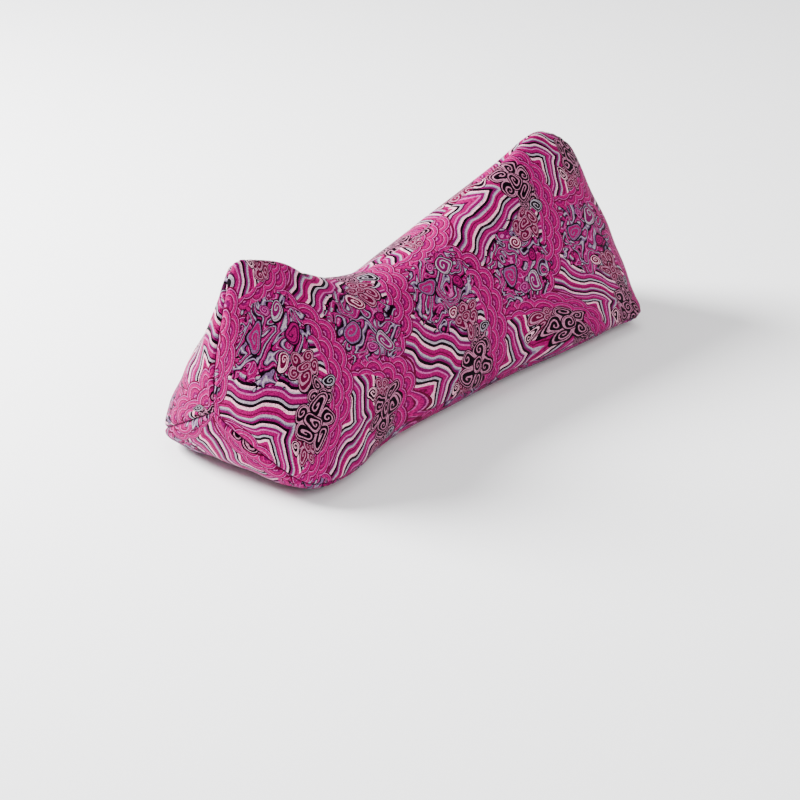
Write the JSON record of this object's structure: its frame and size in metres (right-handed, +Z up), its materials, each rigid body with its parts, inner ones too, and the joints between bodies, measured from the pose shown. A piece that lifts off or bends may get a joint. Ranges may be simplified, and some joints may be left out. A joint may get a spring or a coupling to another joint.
{
  "type": "neck pillow",
  "caption": "Bone-shaped neck pillow of triangular section in magenta brocade, firmly filled, with Y-shaped seams closing the ends.",
  "frame": {"origin": "centre of the footprint, on the surface that the bottom panel rests on", "axes": "+X along the length of the pillow, +Y from the front panel to the back panel, +Z up"},
  "size_m": [0.42, 0.1606, 0.1541],
  "materials": {
    "brocade": "satin woven"
  },
  "bodies": {
    "root": {"pillow": "brocade"}
  },
  "joints": []
}
